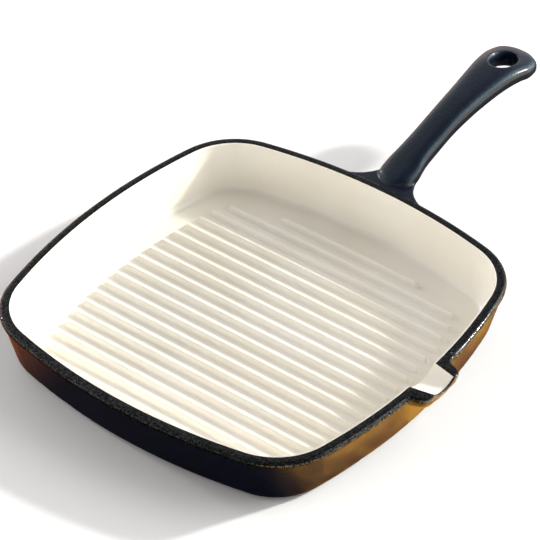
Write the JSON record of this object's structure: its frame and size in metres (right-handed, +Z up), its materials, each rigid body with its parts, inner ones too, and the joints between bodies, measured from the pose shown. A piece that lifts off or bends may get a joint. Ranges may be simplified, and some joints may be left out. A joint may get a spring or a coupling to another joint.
{
  "type": "grill pan",
  "caption": "Square cast iron grill pan with a ribbed cream enamel inside, flared walls, a side pouring spout and a long rising handle with a hanging eye.",
  "frame": {"origin": "centre of the flat underside of the bowl's base, where the pan rests; the handle and spout are left out of that centre", "axes": "+Z up out of the bowl's mouth, +Y along the handle towards its hanging eye, +X towards the pouring spout; the grill ribs run along X"},
  "size_m": [0.2699, 0.4129, 0.0626],
  "materials": {
    "cast_iron": "bare grey iron, as cast, wholly under enamel",
    "cream_enamel": "glossy cream vitreous enamel",
    "matt_black_enamel": "matt black speckled vitreous enamel",
    "dark_gloss_enamel": "high gloss blue-black vitreous enamel"
  },
  "bodies": {
    "root": {"base_plate": "cast_iron", "side_wall": "cast_iron", "pouring_spout": "cast_iron", "handle_web": "cast_iron", "handle_grip": "cast_iron", "grill_rib_01": "cast_iron", "grill_rib_02": "cast_iron", "grill_rib_03": "cast_iron", "grill_rib_04": "cast_iron", "grill_rib_05": "cast_iron", "grill_rib_06": "cast_iron", "grill_rib_07": "cast_iron", "grill_rib_08": "cast_iron", "grill_rib_09": "cast_iron", "grill_rib_10": "cast_iron", "grill_rib_11": "cast_iron", "grill_rib_12": "cast_iron", "grill_rib_13": "cast_iron", "grill_rib_14": "cast_iron", "grill_rib_15": "cast_iron", "grill_rib_16": "cast_iron", "grill_rib_17": "cast_iron", "grill_rib_18": "cast_iron", "grill_rib_19": "cast_iron", "cream_floor_enamel": "cream_enamel", "cream_wall_enamel": "cream_enamel", "cream_spout_enamel": "cream_enamel", "black_rim_enamel": "matt_black_enamel", "gloss_wall_enamel": "dark_gloss_enamel", "gloss_spout_enamel": "dark_gloss_enamel", "gloss_handle_enamel": "dark_gloss_enamel", "base_enamel": "dark_gloss_enamel"}
  },
  "joints": []
}
